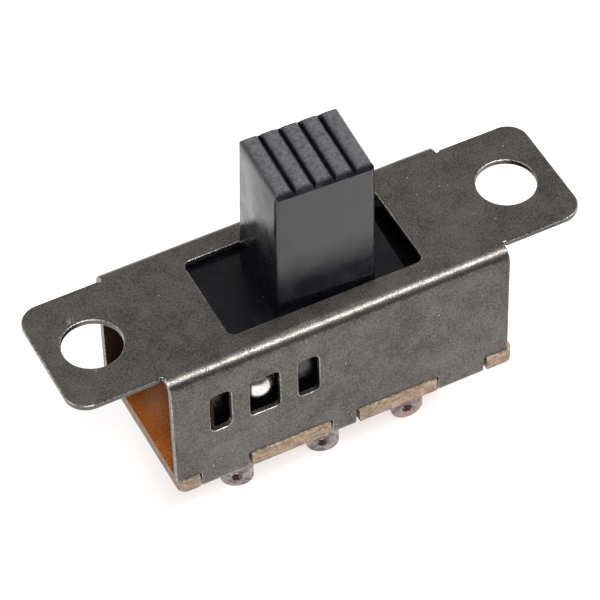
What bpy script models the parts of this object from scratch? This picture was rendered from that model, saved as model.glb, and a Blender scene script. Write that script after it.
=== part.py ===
"""Panel slide switch: folded steel frame, ribbed slider, ball detent, phenolic terminal board.

The frame is one sheet, so it is drawn here as its flat blank and then folded. +X runs along the
slider's travel, +Z points out of the panel, and the origin is the centre of the plate's top face.
Sizes below are in millimetres, and every mesh is turned into metres as it becomes an object.
"""

import math

import bmesh
import bpy
from mathutils import Matrix, Vector

MM = 0.001

# Sheet frame
SHEET = 0.40
PLATE_LENGTH = 35.05
EAR_WIDTH = 8.90
EAR_CORNER = 1.45
HOLE_PITCH = 28.575
HOLE_DIAMETER = 3.85
BODY_LENGTH = 23.30
BODY_WIDTH = 10.70
BEND_RADIUS = (BODY_WIDTH - EAR_WIDTH) / 2
WALL_BOTTOM = -9.08
RELIEF_WIDTH = 0.20
RELIEF_DEPTH = 0.10
SLOT_LENGTH = 13.24
SLOT_WIDTH = 6.70
SLOT_CORNER = 0.45

# Crimped tabs along each wall's lower edge: (start x, end x, taper of the flap's outer end)
TABS = ((-9.95, -6.65, 1.2), (-0.86, 0.86, 0.0), (6.65, 9.95, 1.2))
TAB_CURL = 0.50
TAB_FLAP = 0.75

# Ball detent
DETENT_X = -5.40
DETENT_Z = -4.02
DETENT_PITCH = 3.00
SIDE_WINDOW = (1.45, 3.25, 0.45)
MIDDLE_WINDOW = (2.05, 3.15, 0.30)
BALL_RADIUS = 1.25
BALL_GAP = 0.03
BORE_RADIUS = 1.30
SPRING_RADIUS = 0.95
SPRING_WIRE = 0.16
SPRING_TURNS = 6
SPRING_END = 2.55

# Terminal board
BOARD_GAP = 0.03
BOARD_THICKNESS = 1.00
BOARD_LENGTH = 23.50
BOARD_WIDTH = 11.00
BOARD_SHIFT = 0.25
BOARD_CORNER = 0.55
NOTCH_SIDE = 0.15
NOTCH_FLOOR = 4.88

# Terminals: twist of each lug in degrees, front row and rear row, left to right
TERMINAL_PITCH = 6.10
ROW_Y = 2.00
LUG_TWIST = {"front": (-21.0, -19.0, -7.0), "rear": (-16.0, -20.0, -14.0)}
STAMPING = 0.50
LUG_WIDTH = 2.15
LUG_TIP = -15.95
LUG_HOLE = 0.66
LUG_HOLE_UP = 0.90
BLADE_WIDTH = 2.20
BLADE_TOP = -7.10
SHOULDER_WIDTH = 2.90
SHOULDER_TOP = -8.68
SLOT_CLEARANCE = 0.10
TWIST_LENGTH = 0.90

# Slider: its play in the channel lets the moulding sit a little off centre, turned and leaning
PLAY = (0.20, -0.15)
PLAY_TURN = math.radians(-2.5)
PLAY_LEAN = 0.018
KNOB_LENGTH = 6.54
KNOB_WIDTH = 5.52
KNOB_DRAFT = 0.10
KNOB_SHOULDER = 9.37
RIB_COUNT = 5
RIB_RISE = ((-0.5, 0.0), (-0.46, 0.28), (-0.41, 0.54), (-0.35, 0.73), (-0.26, 0.89), (-0.14, 0.975))
RIB_HEIGHT = 0.46
RIB_END = 0.34
BASE_ENDS = (-8.40, 8.20)
BASE_WIDTH = 8.80
SHELF_TOP = -2.40
PLATEAU_ENDS = (-7.60, 5.45)
BASE_TOP = -0.55
BASE_BOTTOM = -8.85
GROOVE_CEILING = -5.55
GROOVE_INNER = 0.60
GROOVE_OUTER = 3.40
PEG_RADIUS = 0.45
PEG_DROP = 0.55

# Contact clips
CLIP_SHEET = 0.20
CLIP_LENGTH = 8.20
CLIP_HALF_WIDTH = 0.95
CLIP_FINGER = 2.10
CLIP_PINCH = 0.04
CLIP_HOLE = 0.70

COLOURS = {
    "steel": ((0.075, 0.072, 0.066), 0.42, 0.9),
    "black_nylon": ((0.055, 0.055, 0.060), 0.45, 0.0),
    "phenolic": ((0.23, 0.075, 0.022), 0.35, 0.0),
    "tinned_brass": ((0.42, 0.38, 0.36), 0.35, 0.9),
    "spring_bronze": ((0.62, 0.38, 0.18), 0.3, 1.0),
    "bright_steel": ((0.72, 0.71, 0.69), 0.12, 1.0),
    "spring_steel": ((0.45, 0.45, 0.46), 0.25, 1.0),
}


def material(node_name, finish):
    """Makes the node's own Principled material in the named finish."""
    colour, roughness, metallic = COLOURS[finish]
    made = bpy.data.materials.new(node_name + "_" + finish)
    made.use_nodes = True
    shader = made.node_tree.nodes["Principled BSDF"]
    shader.inputs["Base Color"].default_value = (*colour, 1.0)
    shader.inputs["Roughness"].default_value = roughness
    shader.inputs["Metallic"].default_value = metallic
    return made


def add_object(name, bm, finish=None, place=(0.0, 0.0, 0.0), parent=None, turn=0.0):
    """Turns a millimetre bmesh into an object in metres; one with no finish is a cutter."""
    bmesh.ops.recalc_face_normals(bm, faces=bm.faces)
    bm.transform(Matrix.Scale(MM, 4))
    mesh = bpy.data.meshes.new(name)
    bm.to_mesh(mesh)
    bm.free()
    mesh.shade_smooth()
    mesh.set_sharp_from_angle(angle=math.radians(30))
    made = bpy.data.objects.new(name, mesh)
    bpy.context.scene.collection.objects.link(made)
    made.location = Vector(place) * MM
    made.rotation_euler.z = turn
    made.parent = parent
    if finish:
        mesh.materials.append(material(name, finish))
    else:
        made.hide_render = True
        made.display_type = "WIRE"
    return made


def combine(target, other, operation):
    """Adds an exact Boolean of another object to the target."""
    step = target.modifiers.new(operation.lower() + "_" + other.name, "BOOLEAN")
    step.operation = operation
    step.solver = "EXACT"
    step.object = other


def arc(centre, radius, start, end, steps):
    """Points on an arc, with angles in degrees and both ends included."""
    angles = [math.radians(start + (end - start) * i / steps) for i in range(steps + 1)]
    return [(centre[0] + radius * math.cos(a), centre[1] + radius * math.sin(a)) for a in angles]


def circle(centre, radius, steps=32):
    """Points round a circle."""
    return arc(centre, radius, 0, 360, steps)[:-1]


def rounded_rectangle(centre, width, height, radius, steps=4):
    """Points round a rectangle with rounded corners."""
    points = []
    for start, side_x, side_y in ((0, 1, 1), (90, -1, 1), (180, -1, -1), (270, 1, -1)):
        corner = (centre[0] + side_x * (width / 2 - radius), centre[1] + side_y * (height / 2 - radius))
        points += arc(corner, radius, start, start + 90, steps)
    return points


def slab(outline, holes, top, thickness):
    """Fills an outline with holes in the XY plane and gives it a thickness below its top."""
    bm = bmesh.new()
    edges = []
    for loop in [outline] + holes:
        verts = [bm.verts.new((x, y, top)) for x, y in loop]
        edges += [bm.edges.new((vert, verts[i - 1])) for i, vert in enumerate(verts)]
    bmesh.ops.triangle_fill(bm, edges=edges, use_beauty=True)
    extruded = bmesh.ops.extrude_face_region(bm, geom=bm.faces[:])
    lowered = [item for item in extruded["geom"] if isinstance(item, bmesh.types.BMVert)]
    bmesh.ops.translate(bm, verts=lowered, vec=(0, 0, -thickness))
    return bm


def slice_across(bm, axis, positions):
    """Cuts every face where it crosses the given positions on an axis, so that it can be bent there."""
    for position in positions:
        plane = Vector((0, 0, 0))
        plane[axis] = position
        normal = Vector((0, 0, 0))
        normal[axis] = 1
        geometry = bm.verts[:] + bm.edges[:] + bm.faces[:]
        bmesh.ops.bisect_plane(bm, geom=geometry, plane_co=plane, plane_no=normal, dist=1e-4)


def box(low, high):
    """A box between two corners."""
    bm = bmesh.new()
    bmesh.ops.create_cube(bm, size=1.0)
    size = [high[i] - low[i] for i in range(3)]
    middle = [(high[i] + low[i]) / 2 for i in range(3)]
    bm.transform(Matrix.Translation(middle) @ Matrix.Diagonal((*size, 1.0)))
    return bm


def rod(centre, radius, length, axis, steps=32):
    """A cylinder along the named axis, centred on a point."""
    bm = bmesh.new()
    bmesh.ops.create_cone(bm, cap_ends=True, segments=steps, radius1=radius, radius2=radius, depth=length)
    turns = {"X": Matrix.Rotation(math.pi / 2, 4, "Y"), "Y": Matrix.Rotation(math.pi / 2, 4, "X")}
    bm.transform(Matrix.Translation(centre) @ turns.get(axis, Matrix.Identity(4)))
    return bm


# Developed positions across the blank, from the plate's centre line out to a flap's end
CURL_NEUTRAL = TAB_CURL - SHEET / 2
BEND_NEUTRAL = BEND_RADIUS - SHEET / 2
BOARD_BOTTOM = WALL_BOTTOM - BOARD_GAP - BOARD_THICKNESS
CURL_CENTRE_Z = BOARD_BOTTOM - BOARD_GAP - SHEET + TAB_CURL
BEND_START = EAR_WIDTH / 2
BEND_END = BEND_START + BEND_NEUTRAL * math.pi / 2
WALL_END = BEND_END - BEND_RADIUS - WALL_BOTTOM
CURL_START = BEND_END - BEND_RADIUS - CURL_CENTRE_Z
CURL_END = CURL_START + CURL_NEUTRAL * math.pi / 2
FLAP_END = CURL_END + TAB_FLAP


def folded(across, depth):
    """Where a point of the blank ends up: its distance from the centre plane, and its height."""
    if across <= BEND_START:
        return across, -depth
    if across <= BEND_END:
        angle = (across - BEND_START) / BEND_NEUTRAL
        reach = BEND_RADIUS - depth
        return BEND_START + reach * math.sin(angle), -BEND_RADIUS + reach * math.cos(angle)
    if across <= CURL_START:
        return BODY_WIDTH / 2 - depth, -BEND_RADIUS - (across - BEND_END)
    reach = TAB_CURL - depth
    centre_y = BODY_WIDTH / 2 - TAB_CURL
    if across <= CURL_END:
        angle = (across - CURL_START) / CURL_NEUTRAL
        return centre_y + reach * math.cos(angle), CURL_CENTRE_Z - reach * math.sin(angle)
    return centre_y - (across - CURL_END), CURL_CENTRE_Z - reach


def blank_outline():
    """The flat sheet's outline: two ears, and two walls with their tabs."""
    ear_x = PLATE_LENGTH / 2
    ear_y = EAR_WIDTH / 2
    body_x = BODY_LENGTH / 2
    relief_y = ear_y - RELIEF_DEPTH
    right_half = arc((ear_x - EAR_CORNER, ear_y - EAR_CORNER), EAR_CORNER, 0, 90, 10)
    right_half += [(body_x + RELIEF_WIDTH, ear_y), (body_x + RELIEF_WIDTH, relief_y), (body_x, relief_y)]
    right_half.append((body_x, WALL_END))
    tabs = []
    for start, end, taper in reversed(TABS):
        outer_start = taper if start < 0 else 0.0
        outer_end = taper if start > 0 else 0.0
        tabs += [(end, WALL_END), (end, CURL_END), (end - outer_end, FLAP_END)]
        tabs += [(start + outer_start, FLAP_END), (start, CURL_END), (start, WALL_END)]
    back = right_half + tabs + [(-x, y) for x, y in reversed(right_half)]
    return back + [(-x, -y) for x, y in back]


def window(step, side):
    """One detent window's outline in the blank; step is -1, 0 or 1 along the wall."""
    width, height, corner = MIDDLE_WINDOW if step == 0 else SIDE_WINDOW
    across = BEND_END - BEND_RADIUS - DETENT_Z
    centre = (DETENT_X + step * DETENT_PITCH, side * across)
    return rounded_rectangle(centre, width, height, corner)


def make_frame():
    """The whole frame, cut flat and then folded."""
    holes = [circle((side * HOLE_PITCH / 2, 0), HOLE_DIAMETER / 2, 40) for side in (-1, 1)]
    holes.append(rounded_rectangle((0, 0), SLOT_LENGTH, SLOT_WIDTH, SLOT_CORNER))
    holes += [window(step, side) for side in (-1, 1) for step in (-1, 0, 1)]
    bm = slab(blank_outline(), holes, 0.0, SHEET)
    bends = [BEND_START + (BEND_END - BEND_START) * i / 8 for i in range(9)]
    bends += [CURL_START + (CURL_END - CURL_START) * i / 5 for i in range(6)]
    slice_across(bm, 1, bends + [-bend for bend in bends])
    for vert in bm.verts:
        side = 1.0 if vert.co.y > 0 else -1.0
        distance, height = folded(abs(vert.co.y), -vert.co.z)
        vert.co.y = side * distance
        vert.co.z = height
    add_object("frame", bm, "steel")


def make_board():
    """The phenolic board that closes the channel, notched where the frame's tabs pass."""
    left = BOARD_SHIFT - BOARD_LENGTH / 2
    right = BOARD_SHIFT + BOARD_LENGTH / 2
    half = BOARD_WIDTH / 2
    inset = half - BOARD_CORNER
    front = arc((left + BOARD_CORNER, -inset), BOARD_CORNER, 180, 270, 5)
    for start, end, _ in TABS:
        start -= NOTCH_SIDE
        end += NOTCH_SIDE
        front += [(start, -half), (start, -NOTCH_FLOOR), (end, -NOTCH_FLOOR), (end, -half)]
    front += arc((right - BOARD_CORNER, -inset), BOARD_CORNER, 270, 360, 5)
    outline = front + [(x, -y) for x, y in reversed(front)]
    slots = []
    for index in (-1, 0, 1):
        for side in (-1, 1):
            size = (LUG_WIDTH + SLOT_CLEARANCE, STAMPING + SLOT_CLEARANCE)
            slots.append(rounded_rectangle((index * TERMINAL_PITCH, side * ROW_Y), *size, 0.04, 1))
    add_object("terminal_board", slab(outline, slots, WALL_BOTTOM - BOARD_GAP, BOARD_THICKNESS), "phenolic")


def terminal_outline():
    """A terminal's outline, with height along its second axis."""
    blade = BLADE_WIDTH / 2
    shoulder = SHOULDER_WIDTH / 2
    lug = LUG_WIDTH / 2
    chamfer = 0.35
    right = [(lug, WALL_BOTTOM), (shoulder, WALL_BOTTOM), (shoulder, SHOULDER_TOP), (blade, SHOULDER_TOP)]
    right += [(blade, BLADE_TOP - chamfer), (blade - chamfer, BLADE_TOP)]
    round_end = arc((0, LUG_TIP + lug), lug, 180, 360, 16)
    return round_end + right + [(-x, height) for x, height in reversed(right)]


def make_terminal(name, x, y, twist):
    """One flat stamping, with its lug twisted below the board to lock it."""
    hole = circle((0, LUG_TIP + LUG_HOLE_UP), LUG_HOLE / 2, 20)
    bm = slab(terminal_outline(), [hole], STAMPING / 2, STAMPING)
    twist_top = BOARD_BOTTOM - 0.05
    slice_across(bm, 1, [twist_top - TWIST_LENGTH * i / 6 for i in range(7)])
    for vert in bm.verts:
        along, height, through = vert.co
        share = min(max((twist_top - height) / TWIST_LENGTH, 0.0), 1.0)
        turn = math.radians(twist) * share * share * (3 - 2 * share)
        vert.co.x = along * math.cos(turn) - through * math.sin(turn)
        vert.co.y = along * math.sin(turn) + through * math.cos(turn)
        vert.co.z = height
    add_object(name, bm, "tinned_brass", (x, y, 0.0))


def rib_line():
    """The knob's ribbed top from left to right, as crowned ribs with V valleys between them."""
    pitch = KNOB_LENGTH / RIB_COUNT
    crown = list(RIB_RISE) + [(0.0, 1.0)] + [(-share, rise) for share, rise in reversed(RIB_RISE[1:])]
    points = []
    for rib in range(RIB_COUNT):
        middle = -KNOB_LENGTH / 2 + pitch * (rib + 0.5)
        points += [(middle + share * pitch, KNOB_SHOULDER + RIB_HEIGHT * rise) for share, rise in crown]
    points.append((KNOB_LENGTH / 2, KNOB_SHOULDER))
    return points


def make_knob():
    """The ribbed knob as a closed body that ends inside the base."""
    root = BASE_TOP - 1.0
    profile = [(KNOB_LENGTH / 2, root), (-KNOB_LENGTH / 2, root)] + rib_line()
    bm = slab(profile, [], KNOB_WIDTH / 2, KNOB_WIDTH)
    bm.transform(Matrix.Rotation(math.pi / 2, 4, "X"))
    for side in (-1, 1):
        lip = Vector((0, side * KNOB_WIDTH / 2, KNOB_SHOULDER))
        slope = Vector((0, side * RIB_HEIGHT, RIB_END))
        geometry = bm.verts[:] + bm.edges[:] + bm.faces[:]
        cut = bmesh.ops.bisect_plane(
            bm, geom=geometry, plane_co=lip, plane_no=slope, dist=1e-4, clear_outer=True
        )
        rim = [item for item in cut["geom_cut"] if isinstance(item, bmesh.types.BMEdge)]
        bmesh.ops.holes_fill(bm, edges=rim)
    for vert in bm.verts:
        spread = KNOB_DRAFT * (1 - vert.co.z / KNOB_SHOULDER)
        vert.co.x += math.copysign(min(spread, abs(vert.co.x)), vert.co.x) + PLAY_LEAN * vert.co.z
        vert.co.y += math.copysign(spread, vert.co.y)
    return bm


def make_slider(carriage):
    """The slider moulding: knob and base in one, with the detent bore and two contact grooves."""
    half = BASE_WIDTH / 2
    base = box((BASE_ENDS[0], -half, BASE_BOTTOM), (BASE_ENDS[1], half, SHELF_TOP))
    slider = add_object("slider", base, "black_nylon", (*PLAY, 0.0), carriage, PLAY_TURN)
    plateau = box((PLATEAU_ENDS[0], -half, SHELF_TOP - 1), (PLATEAU_ENDS[1], half, BASE_TOP))
    combine(slider, add_object("plateau", plateau, None, (*PLAY, 0.0), carriage, PLAY_TURN), "UNION")
    knob = add_object("knob_shape", make_knob(), place=(*PLAY, 0.0), parent=carriage, turn=PLAY_TURN)
    combine(slider, knob, "UNION")
    for side, label in ((-1, "front"), (1, "rear")):
        low_y, high_y = sorted((side * GROOVE_INNER, side * GROOVE_OUTER))
        groove = box((BASE_ENDS[0] - 1, low_y, BASE_BOTTOM - 1), (BASE_ENDS[1] + 1, high_y, GROOVE_CEILING))
        cutter = add_object("groove_" + label, groove, None, (*PLAY, 0.0), carriage, PLAY_TURN)
        combine(slider, cutter, "DIFFERENCE")
        peg = rod((0, side * ROW_Y, GROOVE_CEILING - PEG_DROP / 2 + 0.2), PEG_RADIUS, PEG_DROP + 0.4, "Z", 20)
        combine(slider, add_object("peg_" + label, peg, place=(PLAY[0], 0, 0), parent=carriage), "UNION")
    bore = rod((DETENT_X, 0, DETENT_Z), BORE_RADIUS, BASE_WIDTH + 2, "Y", 36)
    combine(slider, add_object("detent_bore", bore, parent=carriage), "DIFFERENCE")


def clip_section():
    """Half of a clip's bent section, as its centre line from the web down to the flared finger end."""
    web = GROOVE_CEILING - 0.05 - CLIP_SHEET / 2
    side = CLIP_HALF_WIDTH - CLIP_SHEET / 2
    pinch = STAMPING / 2 + CLIP_PINCH + CLIP_SHEET / 2
    corner = [(side - 0.15, web), (side - 0.04, web - 0.04), (side, web - 0.15)]
    return corner + [(side, -6.55), (pinch, -7.55), (pinch, -7.80), (pinch + 0.3, -8.50)]


def offset_line(points, distance):
    """Moves an open line sideways by a distance, with mitred corners."""
    moved = []
    for i, point in enumerate(points):
        before = Vector(points[max(i - 1, 0)])
        after = Vector(points[min(i + 1, len(points) - 1)])
        here = Vector(point)
        first = (here - before).normalized() if i > 0 else (after - here).normalized()
        second = (after - here).normalized() if i < len(points) - 1 else first
        along = (first + second).normalized()
        normal = Vector((-along.y, along.x))
        moved.append(tuple(here + normal * (distance / along.dot(first))))
    return moved


def make_clip(label, side, carriage):
    """One sprung contact: a web under the slider and two pairs of fingers that pinch the blades."""
    half = clip_section()
    line = [(-y, z) for y, z in reversed(half)] + half
    section = offset_line(line, CLIP_SHEET / 2) + list(reversed(offset_line(line, -CLIP_SHEET / 2)))
    bm = slab(section, [], CLIP_LENGTH / 2, CLIP_LENGTH)
    turn = Matrix(((0, 0, 1, 0), (1, 0, 0, 0), (0, 1, 0, 0), (0, 0, 0, 1)))
    bm.transform(turn)
    place = (PLAY[0], side * ROW_Y, 0.0)
    clip = add_object("contact_clip_" + label, bm, "spring_bronze", place, carriage)
    gap = CLIP_LENGTH / 2 - CLIP_FINGER
    middle = box((-gap, -2, -10), (gap, 2, GROOVE_CEILING - 0.62))
    combine(clip, add_object("finger_gap_" + label, middle, place=place, parent=carriage), "DIFFERENCE")
    hole = rod((0, 0, GROOVE_CEILING), CLIP_HOLE, 2.0, "Z", 24)
    combine(clip, add_object("clip_hole_" + label, hole, place=place, parent=carriage), "DIFFERENCE")


def make_spring(carriage):
    """The detent spring: a wire swept along a coil, with its end turns closed up."""
    turns = SPRING_TURNS + 2
    steps = turns * 16
    wire_sides = 8
    bm = bmesh.new()
    rings = []
    for i in range(steps + 1):
        turn = turns * i / steps
        share = min(max((turn - 1) / SPRING_TURNS, 0.0), 1.0)
        closed = min(turn, 1.0) + max(turn - SPRING_TURNS - 1, 0.0)
        travel = 2 * SPRING_END - 2 * 2.2 * SPRING_WIRE
        along = -SPRING_END + share * travel + closed * 2.2 * SPRING_WIRE
        angle = 2 * math.pi * turn
        outward = Vector((math.cos(angle), 0, math.sin(angle)))
        centre = outward * SPRING_RADIUS + Vector((0, along, 0))
        ring = []
        for k in range(wire_sides):
            around = 2 * math.pi * k / wire_sides
            offset = outward * math.cos(around) + Vector((0, 1, 0)) * math.sin(around)
            ring.append(bm.verts.new(centre + offset * SPRING_WIRE))
        rings.append(ring)
    for before, after in zip(rings, rings[1:]):
        for k in range(wire_sides):
            bm.faces.new((before[k - 1], before[k], after[k], after[k - 1]))
    bm.faces.new(rings[0])
    bm.faces.new(rings[-1])
    add_object("detent_spring", bm, "spring_steel", (DETENT_X, 0, DETENT_Z), carriage)


def make_ball(label, side, carriage):
    """One detent ball, resting just inside its wall."""
    reach = BODY_WIDTH / 2 - SHEET - BALL_RADIUS - BALL_GAP
    bm = bmesh.new()
    bmesh.ops.create_uvsphere(bm, u_segments=28, v_segments=18, radius=BALL_RADIUS)
    bm.transform(Matrix.Rotation(math.pi / 2, 4, "X"))
    place = (DETENT_X, side * reach, DETENT_Z)
    add_object("detent_ball_" + label, bm, "bright_steel", place, carriage)


def make_switch():
    """Builds every piece; what travels with the slider hangs from one empty on its axis."""
    carriage = bpy.data.objects.new("carriage", None)
    bpy.context.scene.collection.objects.link(carriage)
    make_frame()
    make_board()
    for side, label in ((-1, "front"), (1, "rear")):
        for index, twist in enumerate(LUG_TWIST[label]):
            name = "terminal_%s_%d" % (label, index + 1)
            make_terminal(name, (index - 1) * TERMINAL_PITCH, side * ROW_Y, twist)
        make_clip(label, side, carriage)
        make_ball(label, side, carriage)
    make_slider(carriage)
    make_spring(carriage)


for old in list(bpy.data.objects):
    bpy.data.objects.remove(old, do_unlink=True)
make_switch()
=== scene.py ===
"""Visual model of a panel slide switch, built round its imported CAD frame.

The steel frame, the slider, the terminal board, the solder terminals and the detent are each a
class that holds its sizes in millimetres, builds its meshes and dresses them in a finish.
"""

from __future__ import annotations

import logging
import math
from dataclasses import dataclass
from enum import Enum
from typing import Iterable, Optional, Sequence

import bmesh
import bpy
from mathutils import Matrix, Vector


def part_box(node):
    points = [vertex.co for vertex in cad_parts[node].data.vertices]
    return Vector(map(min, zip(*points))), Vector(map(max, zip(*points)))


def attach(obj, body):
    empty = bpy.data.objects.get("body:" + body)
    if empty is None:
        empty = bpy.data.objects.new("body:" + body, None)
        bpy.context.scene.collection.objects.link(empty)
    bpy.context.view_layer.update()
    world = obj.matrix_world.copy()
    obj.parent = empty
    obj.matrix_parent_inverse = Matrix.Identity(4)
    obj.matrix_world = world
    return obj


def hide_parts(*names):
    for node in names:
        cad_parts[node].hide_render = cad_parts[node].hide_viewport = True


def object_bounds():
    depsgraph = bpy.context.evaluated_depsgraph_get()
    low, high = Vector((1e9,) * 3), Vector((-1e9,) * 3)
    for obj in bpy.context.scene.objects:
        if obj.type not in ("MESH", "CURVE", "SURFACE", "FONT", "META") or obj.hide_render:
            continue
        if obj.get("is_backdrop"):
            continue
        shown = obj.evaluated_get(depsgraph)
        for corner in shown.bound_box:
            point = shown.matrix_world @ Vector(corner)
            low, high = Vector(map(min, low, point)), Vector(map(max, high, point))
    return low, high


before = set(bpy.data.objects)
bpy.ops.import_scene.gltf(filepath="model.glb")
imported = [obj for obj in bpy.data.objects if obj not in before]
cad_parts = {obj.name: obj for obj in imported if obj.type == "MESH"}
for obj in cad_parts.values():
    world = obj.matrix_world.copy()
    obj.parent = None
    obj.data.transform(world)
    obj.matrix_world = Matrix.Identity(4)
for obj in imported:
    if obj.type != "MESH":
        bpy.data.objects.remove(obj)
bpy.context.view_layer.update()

logging.basicConfig(level=logging.INFO, format="%(name)s: %(message)s")
log = logging.getLogger("slide_switch")

MM = 0.001
Point = tuple[float, float]
Colour = tuple[float, float, float]


class Body(Enum):
    """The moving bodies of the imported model."""

    HOUSING = "body"
    CARRIAGE = "carriage"
    FRONT_BALL = "front_ball"
    REAR_BALL = "rear_ball"


class Row(Enum):
    """The two rows of the double-pole switch, with their side of the centre plane."""

    FRONT = -1
    REAR = 1

    @property
    def label(self) -> str:
        """The row's word in the names of its nodes."""
        return self.name.lower()

    @property
    def ball_body(self) -> Body:
        """The body that the row's detent ball rides on."""
        return Body.FRONT_BALL if self is Row.FRONT else Body.REAR_BALL


# ---------------------------------------------------------------------------------------------
# Node materials
# ---------------------------------------------------------------------------------------------


class Recipe:
    """A Principled material and the nodes that feed it, with lengths in millimetres."""

    def __init__(self, name: str) -> None:
        """Starts an empty material.

        Args:
            name: the material's name.
        """
        self.material = bpy.data.materials.new(name)
        self.material.use_nodes = True
        self.tree = self.material.node_tree
        self.shader = self.tree.nodes["Principled BSDF"]
        coordinate = self.tree.nodes.new("ShaderNodeTexCoord")
        self.millimetres = self._scaled(coordinate.outputs["Object"], (1 / MM, 1 / MM, 1 / MM))

    def _scaled(self, source: bpy.types.NodeSocket, scale: Sequence[float]) -> bpy.types.NodeSocket:
        """Stretches a coordinate.

        Args:
            source: the coordinate to stretch.
            scale: its factor along each axis.

        Returns:
            The stretched coordinate.
        """
        mapping = self.tree.nodes.new("ShaderNodeMapping")
        mapping.inputs["Scale"].default_value = scale
        self.tree.links.new(source, mapping.inputs["Vector"])
        return mapping.outputs["Vector"]

    def turned(self, angles: Sequence[float]) -> bpy.types.NodeSocket:
        """The millimetre coordinate turned by Euler angles in degrees."""
        mapping = self.tree.nodes.new("ShaderNodeMapping")
        mapping.inputs["Rotation"].default_value = [math.radians(a) for a in angles]
        self.tree.links.new(self.millimetres, mapping.inputs["Vector"])
        return mapping.outputs["Vector"]

    def stretched(self, scale: Sequence[float], angles: Sequence[float] = (0, 0, 0)) -> bpy.types.NodeSocket:
        """The millimetre coordinate turned by angles in degrees, then stretched along each axis."""
        return self._scaled(self.turned(angles), scale)

    def along(self, axis: int) -> bpy.types.NodeSocket:
        """The distance from the switch's centre along X, Y or Z (0, 1 or 2), in millimetres either way."""
        node = self.tree.nodes.new("ShaderNodeSeparateXYZ")
        self.tree.links.new(self.millimetres, node.inputs[0])
        return self.maths("ABSOLUTE", node.outputs[axis], 0.0)

    def below_plate(self) -> bpy.types.NodeSocket:
        """1 between the plate's underside and the board, and 0 outside that; it places the channel's painted shade."""
        height = self.along(2)
        return self.maths("MULTIPLY", self.between(height, 0.30, 0.38), self.between(height, 9.0, 9.1, 1.0, 0.0))

    def constant(self, socket: str, value: float | Sequence[float]) -> None:
        """Sets a shader socket that is the same all over the surface."""
        self.shader.inputs[socket].default_value = value

    def link(self, source: bpy.types.NodeSocket, socket: str) -> None:
        """Feeds a shader socket."""
        self.tree.links.new(source, self.shader.inputs[socket])

    def noise(
        self,
        size: float,
        detail: float = 2.0,
        roughness: float = 0.5,
        distortion: float = 0.0,
        vector: Optional[bpy.types.NodeSocket] = None,
    ) -> bpy.types.NodeSocket:
        """Cloudy noise with features of about a size in millimetres.

        Args:
            size: the width of its features.
            detail: how many finer layers it carries.
            roughness: how strong those layers are.
            distortion: how far it swirls.
            vector: a coordinate other than the plain one.

        Returns:
            The noise, from 0 to 1.
        """
        node = self.tree.nodes.new("ShaderNodeTexNoise")
        node.inputs["Scale"].default_value = 1 / size
        node.inputs["Detail"].default_value = detail
        node.inputs["Roughness"].default_value = roughness
        node.inputs["Distortion"].default_value = distortion
        self.tree.links.new(vector or self.millimetres, node.inputs["Vector"])
        return node.outputs["Fac"]

    def cells(
        self, size: float, feature: str = "F1", vector: Optional[bpy.types.NodeSocket] = None
    ) -> bpy.types.NodeSocket:
        """Distance to the nearest of scattered points a size apart, or to the walls between them.

        Args:
            size: the spacing of the points.
            feature: F1, or DISTANCE_TO_EDGE for the walls.
            vector: a coordinate other than the plain one.

        Returns:
            The distance.
        """
        node = self.tree.nodes.new("ShaderNodeTexVoronoi")
        node.feature = feature
        node.inputs["Scale"].default_value = 1 / size
        self.tree.links.new(vector or self.millimetres, node.inputs["Vector"])
        return node.outputs["Distance"]

    def between(
        self, source: bpy.types.NodeSocket, low: float, high: float, start: float = 0.0, end: float = 1.0
    ) -> bpy.types.NodeSocket:
        """Maps a range onto another one and holds it at its ends.

        Args:
            source: the value to map.
            low: the value that becomes start.
            high: the value that becomes end.
            start: the result at low.
            end: the result at high.

        Returns:
            The mapped value.
        """
        node = self.tree.nodes.new("ShaderNodeMapRange")
        node.interpolation_type = "SMOOTHSTEP"
        values = {"From Min": low, "From Max": high, "To Min": start, "To Max": end}
        for name, value in values.items():
            node.inputs[name].default_value = value
        self.tree.links.new(source, node.inputs["Value"])
        return node.outputs["Result"]

    def maths(
        self, operation: str, first: bpy.types.NodeSocket, second: bpy.types.NodeSocket | float
    ) -> bpy.types.NodeSocket:
        """Joins two values with an operation.

        Args:
            operation: the Math node's operation.
            first: the first value.
            second: the second value, as a socket or a number.

        Returns:
            The result.
        """
        node = self.tree.nodes.new("ShaderNodeMath")
        node.operation = operation
        self.tree.links.new(first, node.inputs[0])
        if isinstance(second, (int, float)):
            node.inputs[1].default_value = second
        else:
            self.tree.links.new(second, node.inputs[1])
        return node.outputs[0]

    def blend(
        self,
        share: bpy.types.NodeSocket,
        first: bpy.types.NodeSocket | Colour,
        second: bpy.types.NodeSocket | Colour,
    ) -> bpy.types.NodeSocket:
        """Mixes two colours.

        Args:
            share: how much of the second colour shows.
            first: the colour where share is 0.
            second: the colour where share is 1.

        Returns:
            The mixed colour.
        """
        node = self.tree.nodes.new("ShaderNodeMix")
        node.data_type = "RGBA"
        self.tree.links.new(share, node.inputs[0])
        for slot, colour in ((6, first), (7, second)):
            if isinstance(colour, tuple):
                node.inputs[slot].default_value = (*colour, 1.0)
            else:
                self.tree.links.new(colour, node.inputs[slot])
        return node.outputs[2]

    def relief(self, heights: Iterable[tuple[bpy.types.NodeSocket, float]]) -> None:
        """Bumps the surface by several heights, each with its depth in millimetres.

        Args:
            heights: pairs of a height from 0 to 1 and its depth.
        """
        normal = None
        for height, depth in heights:
            node = self.tree.nodes.new("ShaderNodeBump")
            node.inputs["Strength"].default_value = 1.0
            node.inputs["Distance"].default_value = depth * MM
            self.tree.links.new(height, node.inputs["Height"])
            if normal:
                self.tree.links.new(normal, node.inputs["Normal"])
            normal = node.outputs["Normal"]
        if normal:
            self.link(normal, "Normal")

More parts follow.
